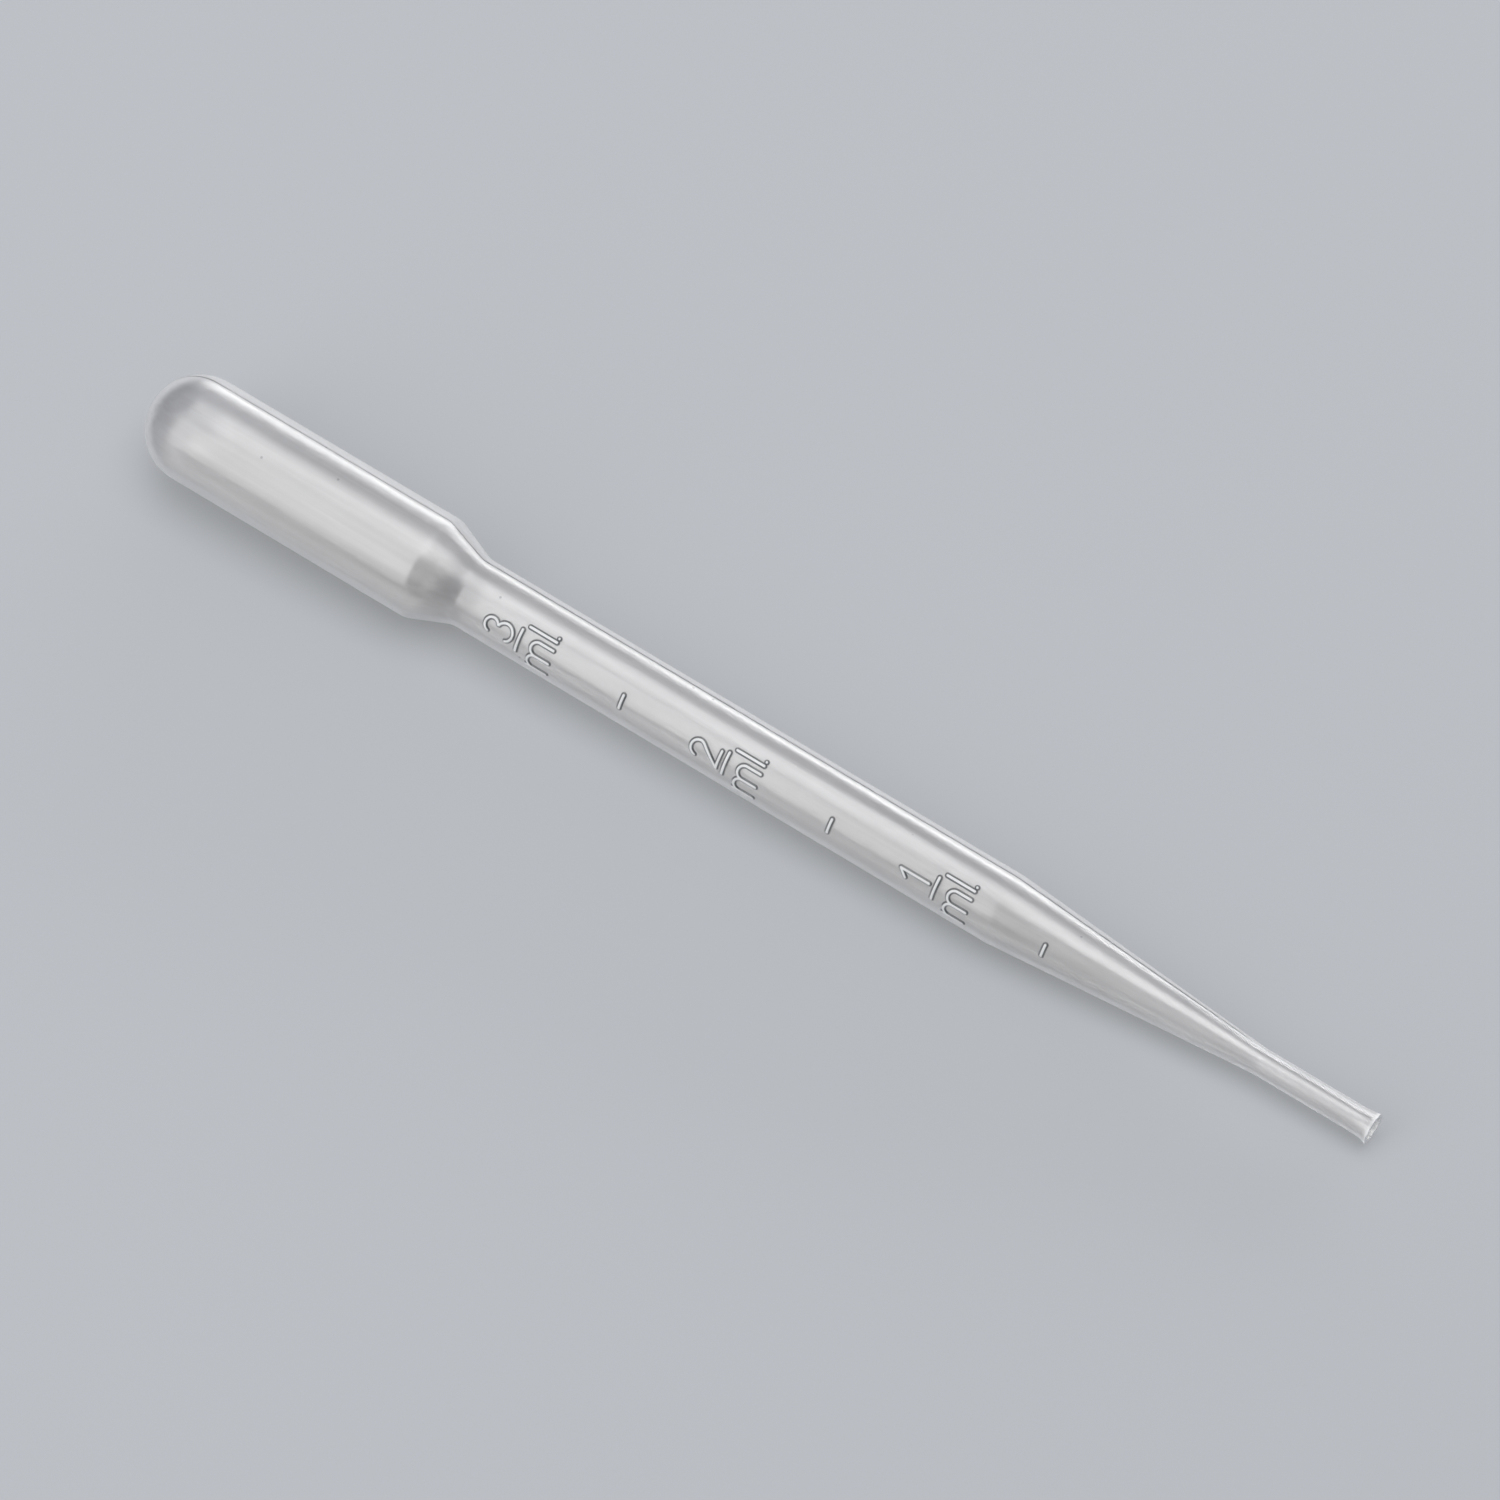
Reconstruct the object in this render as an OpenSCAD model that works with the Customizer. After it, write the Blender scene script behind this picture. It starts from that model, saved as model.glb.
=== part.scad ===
// Three-millilitre transfer pipette, blown in one piece from a soft tube of polyethylene.
// It lies at rest on the surface z = 0, bulb towards -X and open tip towards +X.

/* [Bulb] */
// Outside diameter of the squeeze bulb
bulb_d = 12.1; // [10:0.1:14]
// Length of the bulb from the end of its dome to the rim of the shoulder
bulb_length = 36.5; // [25:0.5:50]
// Wall thickness round the bulb
bulb_wall = 0.55; // [0.4:0.05:1]
// Wall thickness at the crown of the dome, where the mould closes the tube
crown_wall = 0.8; // [0.5:0.05:1.5]

/* [Shoulder] */
// Length of the cone between the bulb and the stem
shoulder_length = 5; // [3:0.5:12]
// Length of wall that each soft corner of the outline takes up, on either side of it
corner_run = 0.4; // [0.2:0.1:1.4]

/* [Stem] */
// Outside diameter of the straight, graduated stem
stem_d = 8.1; // [7:0.1:9.5]
// Length of the straight stem
stem_length = 68; // [60:0.5:90]
// Wall thickness of the stem
stem_wall = 0.58; // [0.4:0.02:1]

/* [Tip] */
// Length of the long cone that narrows the stem to the tip
taper_length = 31.5; // [20:0.5:50]
// Outside diameter of the drawn tip
tip_d = 3; // [2.4:0.1:4]
// Length of the straight tip
tip_length = 14; // [6:0.5:25]
// Wall thickness of the tip
tip_wall = 0.45; // [0.3:0.05:0.8]

/* [Graduations] */
// Volume at the highest rib, in millilitres
full_volume = 3; // [1:0.5:3]
// Volume between one rib and the next, in millilitres
step_volume = 0.5; // [0.25:0.25:0.5]
// Distance from the end of the tip up to the lowest rib
lowest_rib = 39; // [30:0.5:50]
// Width of a rib, along the stem
rib_width = 0.6; // [0.4:0.05:1]
// Height of a rib above the skin
rib_height = 0.15; // [0.08:0.01:0.25]
// Angle round the stem that a rib at a whole millilitre covers
whole_arc = 46; // [36:1:90]
// Angle round the stem that a rib at a part millilitre covers
part_arc = 31; // [15:1:90]

/* [Mould line] */
// Width of the fine ridge where the two halves of the mould meet
seam_width = 0.3; // [0.15:0.05:0.6]
// Height of the ridge above the skin
seam_height = 0.06; // [0.04:0.01:0.15]
// Width of the pinched tag on the crown of the dome
pinch_width = 1.2; // [0.6:0.1:3]
// Height of the pinched tag above the crown
pinch_height = 0.25; // [0.1:0.05:0.8]

/* [Rest] */
// Angle that the graduations have rolled towards the front from straight up
face_roll = 54; // [0:0.5:75]

/* [Hidden] */
$fn = 96;

// Distances along the pipette from the end of its dome
rim = bulb_length;
neck = rim + shoulder_length;
stem_end = neck + stem_length;
draw_end = stem_end + taper_length;
length = draw_end + tip_length;

// Radii of the bulb, the stem and the tip, outside and inside
skin = [bulb_d, stem_d, tip_d] / 2;
bore = skin - [bulb_wall, stem_wall, tip_wall];

// A millilitre is 1000 cubic millimetres, so the bore of the stem sets how far apart the ribs are
rib_pitch = step_volume * 1000 / (PI * bore[1] ^ 2);
rib_count = floor(full_volume / step_volume);
// Radius of the bead that stands rib_height proud and is rib_width wide at the skin
rib_r = (rib_width ^ 2 / 4 + rib_height ^ 2) / (2 * rib_height);

// The pipette leans on the rim of its bulb and the end of its straight stem
lean = atan((skin[0] - skin[1]) / (stem_end - rim));
rest_height = rim * sin(lean) + skin[0] * cos(lean);

corner_steps = 4;
overrun = 1;

function unit(v) = v / norm(v);

// Points that ease an outline round its corner at b, on the way from a to c
function eased(a, b, c) =
    let (from = b + unit(a - b) * corner_run, to = b + unit(c - b) * corner_run)
    [for (i = [0 : corner_steps])
        let (t = i / corner_steps)
        (1 - t) ^ 2 * from + 2 * t * (1 - t) * b + t ^ 2 * to];

// Outside radius of the stem and its taper at a distance from the dome's end
function skin_at(along) = lookup(along, [[neck, skin[1]], [stem_end, skin[1]], [draw_end, skin[2]]]);

// Half section beside the axis, with radii r for bulb, stem and tip, and the dome's widest ring at waist
module half_section(r, waist, end) {
    top = [r[0], waist];
    shoulder = [r[0], rim];
    foot = [r[1], neck];
    taper = [r[1], stem_end];
    draw = [r[2], draw_end];
    mouth = [r[2], end];
    polygon(concat(
        [[0, waist], top],
        eased(top, shoulder, foot),
        eased(shoulder, foot, taper),
        eased(foot, taper, draw),
        eased(taper, draw, mouth),
        [mouth, [0, end]]
    ));
    intersection() {
        translate([0, waist]) circle(r = r[0]);
        translate([0, waist - r[0]]) square(r[0]);
    }
}

// Solid form inside the skin
module body() {
    rotate_extrude() half_section(skin, skin[0], length);
}

// Space inside the wall, open at the tip
module cavity() {
    rotate_extrude() half_section(bore, crown_wall + bore[0], length + overrun);
}

// Raised ribs at each volume step, centred on +X and counted up from the lowest
module ribs() {
    for (i = [1 : rib_count]) {
        along = length - lowest_rib - (i - 1) * rib_pitch;
        volume = i * step_volume;
        arc = volume == floor(volume) ? whole_arc : part_arc;
        if (along > neck + rib_width)
            rotate([0, 0, -arc / 2])
                rotate_extrude(angle = arc)
                    translate([skin_at(along) + rib_height - rib_r, along]) circle(r = rib_r);
    }
}

// Fine ridge that the mould leaves down both sides and over the dome, with its pinched tag
module seam() {
    raised = skin + [seam_height, seam_height, seam_height];
    rotate([90, 0, 90])
        linear_extrude(seam_width, center = true) {
            for (side = [0, 1])
                mirror([side, 0])
                    intersection() {
                        half_section(raised, skin[0], length);
                        translate([0, -overrun]) square([bulb_d, draw_end - corner_run + overrun]);
                    }
            translate([-pinch_width / 2, -pinch_height]) square([pinch_width, pinch_height + crown_wall / 2]);
        }
}

// Lays a pipette that stands along Z, dome down, on the surface with its graduations rolled forward
module at_rest() {
    translate([-length / 2, 0, rest_height])
        rotate([0, 90 + lean, 0])
            rotate([0, 0, 180 + face_roll])
                children();
}

module pipette() {
    color([0.80, 0.82, 0.84])
        at_rest()
            difference() {
                union() {
                    body();
                    ribs();
                    seam();
                }
                cavity();
            }
}

pipette();
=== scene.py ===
import math
import random

import bmesh
import bpy
from mathutils import Matrix, Vector, kdtree, noise


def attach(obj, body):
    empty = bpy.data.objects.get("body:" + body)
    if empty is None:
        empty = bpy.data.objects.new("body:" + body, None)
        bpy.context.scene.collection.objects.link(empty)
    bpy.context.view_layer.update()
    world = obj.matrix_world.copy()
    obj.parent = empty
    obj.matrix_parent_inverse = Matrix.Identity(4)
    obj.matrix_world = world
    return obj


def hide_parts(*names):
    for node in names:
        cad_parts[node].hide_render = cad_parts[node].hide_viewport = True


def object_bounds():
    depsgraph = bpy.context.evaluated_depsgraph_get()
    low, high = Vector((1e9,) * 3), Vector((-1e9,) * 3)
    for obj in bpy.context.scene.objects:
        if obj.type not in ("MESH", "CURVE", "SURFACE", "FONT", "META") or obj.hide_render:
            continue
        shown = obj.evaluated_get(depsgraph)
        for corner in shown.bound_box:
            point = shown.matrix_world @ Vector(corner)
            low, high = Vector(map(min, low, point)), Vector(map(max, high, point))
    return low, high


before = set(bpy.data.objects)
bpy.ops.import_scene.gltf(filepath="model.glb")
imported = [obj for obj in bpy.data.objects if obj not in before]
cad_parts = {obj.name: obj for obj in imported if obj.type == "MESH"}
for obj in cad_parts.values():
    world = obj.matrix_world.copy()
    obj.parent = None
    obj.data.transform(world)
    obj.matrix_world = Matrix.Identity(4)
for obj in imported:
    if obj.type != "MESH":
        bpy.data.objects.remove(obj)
cad_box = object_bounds()

# ---------------------------------------------------------------------------
# The pipette: one thin wall of natural low-density polyethylene, from bulb to tip.
# A soft tube is blown out against a two-part mould that carries the marks, then
# the hot lower end is drawn down to a fine nozzle and cut off.
# ---------------------------------------------------------------------------

# Sizes in millimetres: radii of the outside, walls, lengths, and distances from the dome's end
bulb_radius, stem_radius, tip_radius = 6.05, 4.05, 1.5
crown_wall, bulb_wall, stem_wall, tip_wall = 0.8, 0.55, 0.58, 0.45
bulb_length, shoulder_length, stem_length, taper_length, tip_length = 36.5, 5.0, 68.0, 31.5, 14.0
rim_at = bulb_length
neck_at = rim_at + shoulder_length
stem_end_at = neck_at + stem_length
draw_end_at = stem_end_at + taper_length
length = draw_end_at + tip_length
corner_run = 0.4
dome_steps, corner_steps = 20, 4
merge_gap = 1e-4

# The pipette leans on its bulb's rim and its stem's far end, with the marks rolled to the front
marks_roll = math.radians(54)
lean = math.atan((bulb_radius - stem_radius) / (stem_end_at - rim_at))
rest_height = rim_at * math.sin(lean) + bulb_radius * math.cos(lean)
at_rest = (
    Matrix.Translation((-length / 2, 0, rest_height))
    @ Matrix.Rotation(math.pi / 2 + lean, 4, "Y")
    @ Matrix.Rotation(math.pi + marks_roll, 4, "Z")
)
metres = Matrix.Scale(0.001, 4)

# Half section of the wall beside the axis


def run_to(outline, point, radius, along):
    """Extrudes the outline's end to a radius and a distance along."""
    end = bmesh.ops.extrude_vert_indiv(outline, verts=[point])["verts"][0]
    end.co = (radius, 0, along)
    return end


def half_outline(outline, radii, waist):
    """Draws a dome, bulb, shoulder, stem and drawn end with eased corners, and gives back its end."""
    pole = outline.verts.new((0, 0, waist - radii[0]))
    arc = bmesh.ops.spin(
        outline, geom=[pole], cent=(0, 0, waist), axis=(0, 1, 0), angle=-math.pi / 2, steps=dome_steps
    )
    point = [v for v in arc["geom_last"] if isinstance(v, bmesh.types.BMVert)][0]
    bends = ((radii[0], rim_at), (radii[1], neck_at), (radii[1], stem_end_at), (radii[2], draw_end_at))
    corners = []
    for radius, along in bends:
        point = run_to(outline, point, radius, along)
        corners.append(point)
    end = run_to(outline, point, radii[2], length)
    bmesh.ops.bevel(
        outline, geom=corners, offset=corner_run, offset_type="OFFSET", segments=corner_steps,
        profile=0.5, affect="VERTICES", material=-1,
    )
    return end


def cut_across(outline, side, places, axis):
    """Cuts one side of the outline at each place along an axis, so the wall gets a ring there."""
    for place in places:
        geometry = [v for v in outline.verts if v[inside] == side]
        geometry += [e for e in outline.edges if all(v[inside] == side for v in e.verts)]
        bmesh.ops.bisect_plane(
            outline, geom=geometry, dist=merge_gap, plane_co=Vector(axis) * place, plane_no=axis
        )


def spaced(*stretches):
    """Places in stretches, each given as its start, its end and about how far apart they lie."""
    places = []
    for start, stop, pitch in stretches:
        count = max(1, round((stop - start) / pitch))
        places += [start + (stop - start) * i / count for i in range(count + 1)]
    return places


# Raised marks: a rib at each half millilitre, with a number and "ml." at each whole one. Half a
# millilitre is 500 cubic millimetres, so the stem's bore sets how far apart the ribs are.
bore_radius = stem_radius - stem_wall
half_millilitre, rib_count = 500, 6
rib_pitch = half_millilitre / (math.pi * bore_radius**2)
lowest_rib_at = length - 39
rib_places = [lowest_rib_at - i * rib_pitch for i in range(rib_count)]
whole_half_arc, part_half_arc = math.radians(23), math.radians(15.5)
rib_height, rib_width = 0.15, 0.6
stroke_height, stroke_width = 0.17, 0.56
# The marks' tops go this far towards white: partly the milkier thick plastic, partly a painted highlight
mark_milk_and_highlight = 0.8
digit_foot, digit_height = 0.75, 3.5
unit_foot, letter_height, letter_arch = -4.1, 2.5, 0.8

# Patches under the marks, each from one distance along to another and so many degrees either way
marks_half_turn, rib_half_turn = 41, 22
patch_pitch, patch_margin, patch_cuts = 0.36, 0.4, 4
patches = []
for number, place in enumerate(rib_places, 1):
    if number % 2:
        patches.append((place - 1.5 * patch_pitch, place + 1.5 * patch_pitch, rib_half_turn))
    else:
        top = place - digit_foot - digit_height - patch_margin
        patches.append((top, place - unit_foot + patch_margin, marks_half_turn))

# Rings lie close together where the marks and corners are, and wide apart on plain wall
outer_rings = spaced(
    (bulb_radius + 0.95, rim_at - 1.5, 2.0), (rim_at + 0.7, neck_at - 0.7, 0.6),
    (neck_at + 1.5, stem_end_at - 1.5, 1.6), (stem_end_at + 1.5, draw_end_at - 1, 1.4),
    (draw_end_at + 1, length - 3, 1.2), (length - 2.4, length - 0.15, 0.15),
    *[(top, bottom, patch_pitch) for top, bottom, half_turn in patches],
)
inner_rings = spaced(
    (bulb_radius + 1.95, rim_at - 1.5, 3.0), (rim_at + 1, neck_at - 1, 1.0),
    (neck_at + 1.5, stem_end_at - 1.5, 3.0), (stem_end_at + 1.5, draw_end_at - 1, 3.0),
    (draw_end_at + 2, length - 3, 2.0), (length - 2.4, length - 0.3, 0.3),
)
pole_rings = (0.06, 0.12, 0.18, 0.25, 0.33, 0.41, 0.49, 0.57, 0.66, 0.8, 1.0)

# The outside first, then the inside, then the cut end that joins them. The bulb's skin is
# drawn a hair inside the solid's flats, so it never stands outside them.
outline = bmesh.new()
inside = outline.verts.layers.int.new("inside")
skin_radius = bulb_radius - 0.015
mouth = half_outline(outline, (skin_radius, stem_radius, tip_radius), skin_radius)
cut_across(outline, 0, outer_rings, (0, 0, 1))
cut_across(outline, 0, pole_rings, (1, 0, 0))
outer = set(outline.verts)
cavity_radius = bulb_radius - bulb_wall
bore_end = half_outline(
    outline, (cavity_radius, bore_radius, tip_radius - tip_wall), crown_wall + cavity_radius
)
for point in outline.verts:
    point[inside] = point not in outer
cut_across(outline, 1, inner_rings, (0, 0, 1))
cut_face = outline.edges.new((mouth, bore_end))
bmesh.ops.subdivide_edges(outline, edges=[cut_face], cuts=2)

# Turned about the axis in stretches of so many degrees and steps: across the marks, and then
# round by both of the mould's joints, which lie a quarter turn from the marks and need fine steps
joint_half_turn = 7
plain = 90 - marks_half_turn - joint_half_turn
joint = (2 * joint_half_turn, 20)
turns = ((2 * marks_half_turn, 18), (plain, 11), joint, (180 - joint[0], 44), joint, (plain, 11))
wall = outline
bmesh.ops.rotate(
    wall, verts=wall.verts, cent=(0, 0, 0), matrix=Matrix.Rotation(math.radians(-marks_half_turn), 3, "Z")
)
edge = wall.verts[:] + wall.edges[:]
for degrees, steps in turns:
    edge = bmesh.ops.spin(
        wall, geom=edge, cent=(0, 0, 0), axis=(0, 0, 1), angle=math.radians(degrees), steps=steps
    )["geom_last"]
bmesh.ops.remove_doubles(wall, verts=wall.verts, dist=merge_gap)
bmesh.ops.recalc_face_normals(wall, faces=wall.faces)


def turn_of(point):
    """Angle round the axis from the middle of the marks."""
    return math.atan2(point.co.y, point.co.x)


def in_patch(point, slack=1e-3):
    """True for a point of the outside wall that lies under the marks."""
    return point[inside] == 0 and any(
        top - slack < point.co.z < bottom + slack and abs(turn_of(point)) < math.radians(half_turn) + slack
        for top, bottom, half_turn in patches
    )


# Under the marks the wall is cut five times finer, and its new points go out to the true round
patch_faces = [f for f in wall.faces if all(in_patch(v) for v in f.verts)]
patch_edges = list({e for f in patch_faces for e in f.edges})
bmesh.ops.subdivide_edges(wall, edges=patch_edges, cuts=patch_cuts, use_grid_fill=True)
for point in wall.verts:
    if in_patch(point):
        drawn_share = max(0.0, (point.co.z - stem_end_at) / (draw_end_at - stem_end_at))
        true_radius = stem_radius + (tip_radius - stem_radius) * drawn_share
        stretch = true_radius / math.hypot(point.co.x, point.co.y)
        point.co.x *= stretch
        point.co.y *= stretch
# The faces round a patch have extra points on one side, so they become triangles that reach them all
bmesh.ops.triangulate(
    wall, faces=[f for f in wall.faces if len(f.verts) > 4], quad_method="BEAUTY", ngon_method="BEAUTY"
)
wall.normal_update()


# Strokes of the figures and the unit: right and up in millimetres, from the foot at the middle


def line(start, end, pitch=0.05):
    """Points along a straight stroke."""
    start, end = Vector(start), Vector(end)
    count = max(1, round((end - start).length / pitch))
    return [start.lerp(end, i / count) for i in range(count + 1)]


def bow(centre, across, up, start, end, pitch=0.05):
    """Points along an arc of an ellipse, its angles in degrees from the right."""
    count = max(2, round(math.radians(abs(end - start)) * max(across, up) / pitch))
    angles = [math.radians(start + (end - start) * i / count) for i in range(count + 1)]
    return [Vector((centre[0] + across * math.cos(a), centre[1] + up * math.sin(a))) for a in angles]


figures = {
    3: bow((0.0, 2.66), 0.86, 0.80, 160, -62) + bow((0.0, 0.98), 1.0, 0.96, 66, -160),
    2: bow((0.0, 2.62), 0.92, 0.86, 168, -38)
    + line((0.72, 2.09), (-0.98, 0.04)) + line((-0.98, 0.04), (1.04, 0.04)),
    1: line((0.18, 0.0), (0.18, digit_height)) + line((0.18, digit_height), (-0.6, 2.7)),
}
spring = letter_height - letter_arch
unit_mark = (
    line((-2.2, 0.0), (-2.2, letter_height)) + bow((-1.4, spring), letter_arch, letter_arch, 180, 0)
    + line((-0.6, spring), (-0.6, 0.0)) + bow((0.2, spring), letter_arch, letter_arch, 180, 0)
    + line((1.0, spring), (1.0, 0.0)) + line((1.95, 0.1), (1.95, digit_height)) + [Vector((2.42, 0.08))]
)


def stroke_tree(strokes):
    """Search tree over the points of some strokes."""
    tree = kdtree.KDTree(len(strokes))
    for i, point in enumerate(strokes):
        tree.insert((point.x, point.y, 0), i)
    tree.balance()
    return tree


lettering = {}
for number in figures:
    strokes = [p + Vector((0, digit_foot)) for p in figures[number]]
    strokes += [p + Vector((0, unit_foot)) for p in unit_mark]
    lettering[number] = stroke_tree(strokes)

# Across a bead, the painted shade of its steep side starts a share of the width from its middle,
# grows over another share, and fades over some hundredths of a millimetre past the edge
side_from, side_run, side_fade = 0.15, 0.12, 0.08


def bead(distance, width, height):
    """Height of a round-backed bead at a distance from its middle, and the weight of painted shade on its
    side.
    """
    edge_at = width / 2 + side_fade
    if distance >= edge_at:
        return 0.0, 0.0
    radius = (width**2 / 4 + height**2) / (2 * height)
    side = min(1.0, max(0.0, (distance - width * side_from) / (width * side_run)))
    side *= min(1.0, (edge_at - distance) / side_fade)
    return max(0.0, math.sqrt(max(0.0, radius**2 - distance**2)) - (radius - height)), side


def mark_at(turn, radius, along):
    """Height of the raised marks at a place, its turn measured from the marks' middle, and the weight of
    painted shade on their sides.
    """
    if abs(turn) > math.radians(marks_half_turn):
        return 0.0, 0.0
    across = -radius * turn
    rise = 0.0, 0.0
    for number, place in enumerate(rib_places, 1):
        up = place - along
        if not unit_foot - stroke_width < up < digit_foot + digit_height + stroke_width:
            continue
        half_arc = part_half_arc if number % 2 else whole_half_arc
        beyond = max(0.0, abs(across) - (radius * half_arc - rib_width / 2))
        rise = max(rise, bead(math.hypot(beyond, up), rib_width, rib_height))
        if number % 2 == 0:
            distance = lettering[number // 2].find((across, up, 0))[2]
            rise = max(rise, bead(distance, stroke_width, stroke_height))
    return rise


# Ridge left where the mould's halves meet, which fades out above the tip, and the tag on the
# crown where the tube was pinched shut. The ridge's sides take a share of the painted shade.
ridge_width, ridge_height, ridge_fade, ridge_shade = 0.3, 0.06, 5.0, 0.45
tag_half_width, tag_thickness, tag_height = 0.6, 0.4, 0.23


def ridge_at(x, y, along):
    """Height of the mould's joint line and of the pinched tag at the crown, and the weight of painted
    shade on their sides.
    """
    left = min(1.0, max(0.0, (draw_end_at - along) / ridge_fade))
    height, side = bead(abs(x), ridge_width, ridge_height)
    rise = height * left, side * left
    if along < bulb_radius and abs(y) < tag_half_width:
        fade = 1 - (abs(y) / tag_half_width) ** 4
        rise = max(rise, bead(abs(x), tag_thickness, tag_height * fade + 1e-3))
    return rise


# The wall is a little uneven inside, in streaks 1.7 mm wide and 90 mm long that the hot tube
# brings with it. They are calmer in the wide bulb and die out towards the axis.
streak_height, streak_width, streak_length, calm_radius = 0.02, 1.7, 90.0, 2.5

# The cut has spread the last 3.2 mm, most at its end, left six burrs, torn the edge back in
# ripples 0.6 mm wide, and turned it white in spots of 0.4 mm
random.seed(7)
mouth_from, mouth_spread = length - 3.2, 0.22
burrs = [(random.uniform(-math.pi, math.pi), random.uniform(0.14, 0.36)) for _ in range(6)]
burr_from, burr_half_turn, burr_inside = 5 / 6, 0.2, 0.1
tear_from, tear_least, tear_depth, tear_ripples, tear_row = 3 / 4, 0.03, 0.07, 2.6, 3.1
white_from, white_share, white_spots, white_rows = 6 / 7, 0.75, 4.1, 2.0


def late(near, start):
    """Nought up to a share of the way to the cut, and then a straight rise to one at the cut."""
    return max(0.0, (near - start) / (1 - start))


def spread_at(turn, near, is_inside):
    """How far the end's wall has spread, with its burrs, which hardly show inside."""
    spread = mouth_spread * near**3
    for burr_turn, burr in burrs:
        away = abs(math.remainder(turn - burr_turn, 2 * math.pi))
        burr *= max(0.0, 1 - away / burr_half_turn) * late(near, burr_from)
        spread += burr * burr_inside if is_inside else burr
    return spread


# Painted shade on steep sides, and the white of thick or torn plastic, which on the marks' tops is
# also a painted highlight, go to the material by point
moves = []
painted_side_shade = wall.verts.layers.float.new("painted_side_shade")
whitened_and_highlit = wall.verts.layers.float.new("whitened_and_highlit")
for point in wall.verts:
    x, y, along = point.co
    radius = math.hypot(x, y)
    turn = turn_of(point)
    if point[inside]:
        place = Vector((x / streak_width, y / streak_width, along / streak_length))
        calm = bore_radius / max(radius, bore_radius) * min(1.0, radius / calm_radius)
        move = point.normal * noise.noise(place) * streak_height * calm
    else:
        rise, side = mark_at(turn, radius, along)
        ridge, ridge_side = ridge_at(x, y, along)
        # Painted shade on the steep sides of the marks and the ridge
        point[painted_side_shade] = max(side, ridge_shade * ridge_side)
        # White on the marks' tops: milkier thick plastic and a painted highlight
        point[whitened_and_highlit] = mark_milk_and_highlight * min(1.0, rise / rib_height) * (1 - side)
        move = point.normal * (rise + ridge)
    near = (along - mouth_from) / (length - mouth_from)
    if near > 0:
        out = Vector((math.cos(turn), math.sin(turn), 0))
        ripple = noise.noise(out * tear_ripples + Vector((0, 0, tear_row)))
        tear = max(0.0, tear_least + tear_depth * (ripple + 0.5))
        spots = noise.noise(out * white_spots + Vector((0, 0, along * white_rows)))
        point[whitened_and_highlit] = late(near, white_from) * min(1.0, white_share + spots)
        move = move + out * spread_at(turn, near, point[inside])
        move = move - Vector((0, 0, tear * late(near, tear_from)))
    moves.append((point, move))
for point, move in moves:
    point.co += move

# Edges that turn by more than 50 degrees, such as the cut's, stay sharp
sharp_turn = math.radians(50)
for face in wall.faces:
    face.smooth = True
    face.material_index = int(all(v[inside] for v in face.verts))
wall.transform(metres @ at_rest)
mesh = bpy.data.meshes.new("pipette_wall")
wall.to_mesh(mesh)
wall.free()
mesh.set_sharp_from_angle(angle=sharp_turn)
pipette = bpy.data.objects.new("pipette_wall", mesh)
bpy.context.scene.collection.objects.link(pipette)


def linear(colour):
    """An sRGB hex colour as linear values with full alpha."""
    parts = [int(colour[i : i + 2], 16) / 255 for i in (1, 3, 5)]
    return [c / 12.92 if c <= 0.04045 else ((c + 0.055) / 1.055) ** 2.4 for c in parts] + [1.0]


def add(tree, kind, values=None, links=None, **settings):
    """Adds a node with its settings, its values, and its links, each given as a node and an output."""
    node = tree.nodes.new(kind)
    for name, value in settings.items():
        setattr(node, name, value)
    sockets = {socket.identifier: socket for socket in node.inputs}
    for name, value in (values or {}).items():
        sockets[name].default_value = value
    for name, (source, output) in (links or {}).items():
        given = next(socket for socket in source.outputs if socket.identifier == output)
        tree.links.new(given, sockets[name])
    return node


def fresh(name):
    """A new node material, emptied, and its tree."""
    material = bpy.data.materials.new(name)
    material.use_nodes = True
    material.node_tree.nodes.clear()
    return material, material.node_tree


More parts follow.
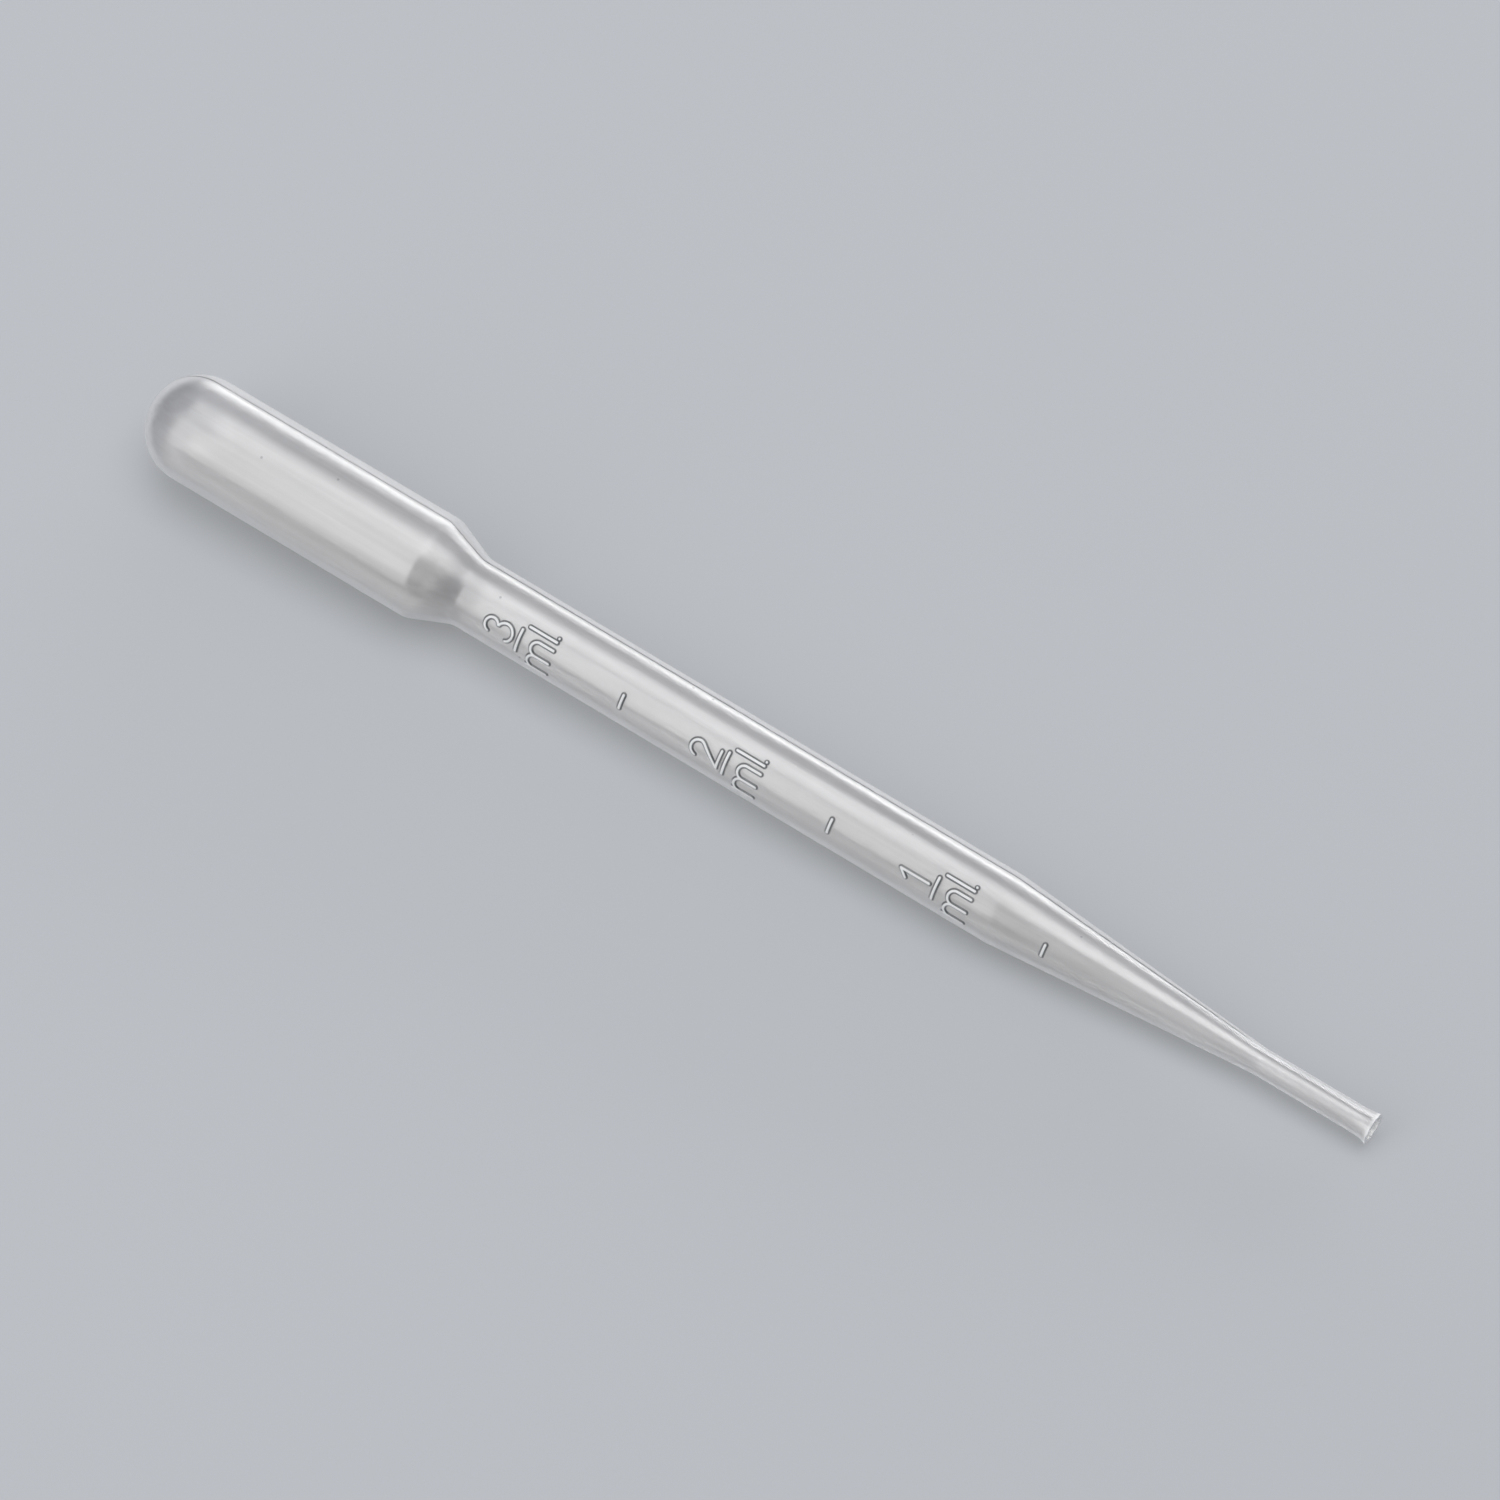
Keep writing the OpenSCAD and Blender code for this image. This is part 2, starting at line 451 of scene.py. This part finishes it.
def polyethylene(name, roughness, clearness, rim_slant, rim_share, rim_colour):
    """Blow-moulded low-density polyethylene: milk-white and waxy, clear enough to see the far wall
    through.
    """
    material, tree = fresh(name)
    # Patterns lie in the pipette's own millimetres: evenly, or with 40 mm to the unit along it
    place = metres @ at_rest
    coordinates = add(tree, "ShaderNodeTexCoord")
    even, drawn = (
        add(
            tree, "ShaderNodeMapping",
            {"Location": place.to_translation(), "Rotation": place.to_euler(), "Scale": unit},
            {"Vector": (coordinates, "Object")}, vector_type="TEXTURE",
        )
        for unit in ((0.001, 0.001, 0.001), (0.001, 0.001, 0.04))
    )
    # Flow lines 0.7 mm apart and 0.04 mm high, coarser than the real ones so that they show
    streaks = add(
        tree, "ShaderNodeTexNoise", {"Scale": 1.4, "Detail": 2.0, "Roughness": 0.5},
        {"Vector": (drawn, "Vector")},
    )
    lines = add(
        tree, "ShaderNodeBump", {"Strength": 0.7, "Distance": 0.00004}, {"Height": (streaks, "Fac")}
    )
    # The mould's fine blasting leaves a waxy skin, duller and glossier in spots of 0.8 mm
    skin = add(
        tree, "ShaderNodeTexNoise", {"Scale": 1.2, "Detail": 3.0, "Roughness": 0.6},
        {"Vector": (even, "Vector")},
    )
    gloss = add(
        tree, "ShaderNodeMapRange",
        {"From Min": 0.3, "From Max": 0.7, "To Min": roughness[0], "To Max": roughness[1]},
        {"Value": (skin, "Fac")},
    )
    # The melt flows in paler and duller streaks
    flow = add(
        tree, "ShaderNodeMapRange", {"From Min": 0.4, "From Max": 0.65}, {"Value": (streaks, "Fac")}
    )
    milk = add(
        tree, "ShaderNodeMix", {"A_Color": linear("#F6F5F5"), "B_Color": linear("#EAE8E8")},
        {"Factor_Float": (flow, "Result")}, data_type="RGBA",
    )
    # Grains of unmelted resin, 0.2 to 0.4 mm across and one to each 4 mm cell, show grey where
    # they meet the thin wall
    grains = add(tree, "ShaderNodeTexVoronoi", {"Scale": 0.26}, {"Vector": (even, "Vector")}, feature="F1")
    grain = add(
        tree, "ShaderNodeMapRange", {"From Min": 0.03, "From Max": 0.05, "To Min": 0.6, "To Max": 0.0},
        {"Value": (grains, "Distance")},
    )
    grained = add(
        tree, "ShaderNodeMix", {"B_Color": linear("#85868A")},
        {"Factor_Float": (grain, "Result"), "A_Color": (milk, "Result_Color")}, data_type="RGBA",
    )
    # Painted shade: the steep sides of the marks and the ridge are coloured dark for the light they send
    # away
    sides = add(tree, "ShaderNodeAttribute", attribute_name="painted_side_shade")
    shaded = add(
        tree, "ShaderNodeMix", {"B_Color": linear("#303336")},
        {"Factor_Float": (sides, "Fac"), "A_Color": (grained, "Result_Color")}, data_type="RGBA",
    )
    plastic = add(
        tree, "ShaderNodeBsdfPrincipled",
        {
            "IOR": 1.51, "Transmission Weight": clearness,
            "Coat Weight": 0.8, "Coat Roughness": 0.3, "Coat IOR": 1.5,
        },
        {
            "Base Color": (shaded, "Result_Color"), "Roughness": (gloss, "Result"),
            "Normal": (lines, "Normal"), "Coat Normal": (lines, "Normal"),
        },
    )
    # Seen edge on, the wall is many times thicker, so on the outside skin its milkiness shows as a
    # pale rim; on the inside skin the rim is dark grey, a painted shade line along the wall's edge
    slant = add(tree, "ShaderNodeLayerWeight", {"Blend": 0.5})
    rim = add(
        tree, "ShaderNodeMapRange",
        {"From Min": rim_slant[0], "From Max": rim_slant[1], "To Min": 0.0, "To Max": rim_share},
        {"Value": (slant, "Facing")}, interpolation_type="SMOOTHSTEP",
    )
    rim_milk_and_shade = add(tree, "ShaderNodeBsdfDiffuse", {"Color": linear(rim_colour)})
    rimmed = add(
        tree, "ShaderNodeMixShader", {},
        {"Fac": (rim, "Result"), "Shader": (plastic, "BSDF"), "Shader_001": (rim_milk_and_shade, "BSDF")},
    )
    # The tops of the marks are thicker and so milkier, and their white is also a painted highlight;
    # the plastic torn at the cut is white
    whiter = add(tree, "ShaderNodeAttribute", attribute_name="whitened_and_highlit")
    white = add(tree, "ShaderNodeBsdfDiffuse", {"Color": linear("#FBFBFA")})
    body = add(
        tree, "ShaderNodeMixShader", {},
        {"Fac": (whiter, "Fac"), "Shader": (rimmed, "Shader"), "Shader_001": (white, "BSDF")},
    )
    # Lamps shine through the thin wall, which dims them a little
    rays = add(tree, "ShaderNodeLightPath")
    clear = add(tree, "ShaderNodeBsdfTransparent", {"Color": linear("#EDEDEC")})
    passed = add(
        tree, "ShaderNodeMixShader", {},
        {"Fac": (rays, "Is Shadow Ray"), "Shader": (body, "Shader"), "Shader_001": (clear, "BSDF")},
    )
    add(tree, "ShaderNodeOutputMaterial", {}, {"Surface": (passed, "Shader")})
    return material


# The outside took the mould's dull skin, and the inside, which touched only air, is glossier
mesh.materials.append(polyethylene(
    "moulded outer LDPE skin", roughness=(0.28, 0.33), clearness=0.95,
    rim_slant=(0.4, 0.72), rim_share=0.45, rim_colour="#F6F5F5",
))
# The inside's dark grey rim is painted shade, a dark line along the wall's edge
mesh.materials.append(polyethylene(
    "blown inner LDPE skin", roughness=(0.10, 0.15), clearness=0.96,
    rim_slant=(0.7, 0.92), rim_share=0.75, rim_colour="#85888D",
))

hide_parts("pipette")
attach(pipette, "root")

# ---------------------------------------------------------------------------
# The bench: a wide sheet of matt pale grey laminate, which the pipette lies on.
# It isn't part of the object.
# ---------------------------------------------------------------------------

floor_mesh = bpy.data.meshes.new("bench")
sheet = bmesh.new()
bmesh.ops.create_circle(sheet, cap_ends=True, segments=96, radius=3.0)
sheet.to_mesh(floor_mesh)
sheet.free()
floor = bpy.data.objects.new("bench", floor_mesh)
bpy.context.scene.collection.objects.link(floor)
# Melamine laminate pressed against a matt plate: even, and with only a broad, weak sheen
laminate, tree = fresh("matt grey laminate")
matt = add(
    tree, "ShaderNodeBsdfPrincipled",
    {"Base Color": linear("#BCBEC1"), "Roughness": 0.8, "Specular IOR Level": 0.3},
)
add(tree, "ShaderNodeOutputMaterial", {}, {"Surface": (matt, "BSDF")})
floor_mesh.materials.append(laminate)

# ---------------------------------------------------------------------------
# The light: a soft box overhead and one in front, a low strip behind that edges
# the far side, and the even light of a grey room. None of it is part of the object.
# ---------------------------------------------------------------------------


def soft_box(name, place, facing, width, height, watts):
    """A rectangular lamp, level along its width, that shines along a direction."""
    lamp = bpy.data.lights.new(name, "AREA")
    lamp.shape = "RECTANGLE"
    lamp.size, lamp.size_y, lamp.energy = width, height, watts
    stand = bpy.data.objects.new(name, lamp)
    stand.location = place
    stand.rotation_euler = Vector(facing).to_track_quat("-Z", "Y").to_euler()
    bpy.context.scene.collection.objects.link(stand)


soft_box(
    "overhead soft box", place=(0.03, 0.10, 1.0), facing=(0, -0.10, -1.0),
    width=0.98, height=0.75, watts=6.2,
)
soft_box(
    "front soft box", place=(-0.485, -0.788, 0.616), facing=(0, 0.788, -0.616),
    width=0.73, height=1.3, watts=6.4,
)
soft_box(
    "back strip", place=(-0.10, 0.90, 0.18), facing=(0, -0.90, -0.18),
    width=1.2, height=0.14, watts=4.2,
)

world = bpy.data.worlds.new("grey room")
world.use_nodes = True
room = world.node_tree.nodes["Background"]
room.inputs["Color"].default_value = linear("#7A7E86")
room.inputs["Strength"].default_value = 1.0
bpy.context.scene.world = world

# The plastic lets the lamps' light straight through its wall, so caustics stay off
bpy.context.scene.cycles.caustics_refractive = False
bpy.context.scene.cycles.caustics_reflective = False

# ---------------------------------------------------------------------------
# The camera looks down on the middle of the pipette, from the front and a little
# to the tip's side, through a long lens.
# ---------------------------------------------------------------------------

camera_turn, camera_height, camera_distance = math.radians(34), math.radians(59), 0.9
frame_width = 0.158
lens = bpy.data.cameras.new("camera")
lens.lens = lens.sensor_width * camera_distance / frame_width
lens.clip_start, lens.clip_end = 0.01, 20
camera = bpy.data.objects.new("camera", lens)
middle = (cad_box[0] + cad_box[1]) / 2
back = Vector((
    math.sin(camera_turn) * math.cos(camera_height),
    -math.cos(camera_turn) * math.cos(camera_height),
    math.sin(camera_height),
))
camera.location = middle + back * camera_distance
camera.rotation_euler = (-back).to_track_quat("-Z", "Y").to_euler()
bpy.context.scene.collection.objects.link(camera)
bpy.context.scene.camera = camera
bpy.context.scene.view_settings.view_transform = "Standard"
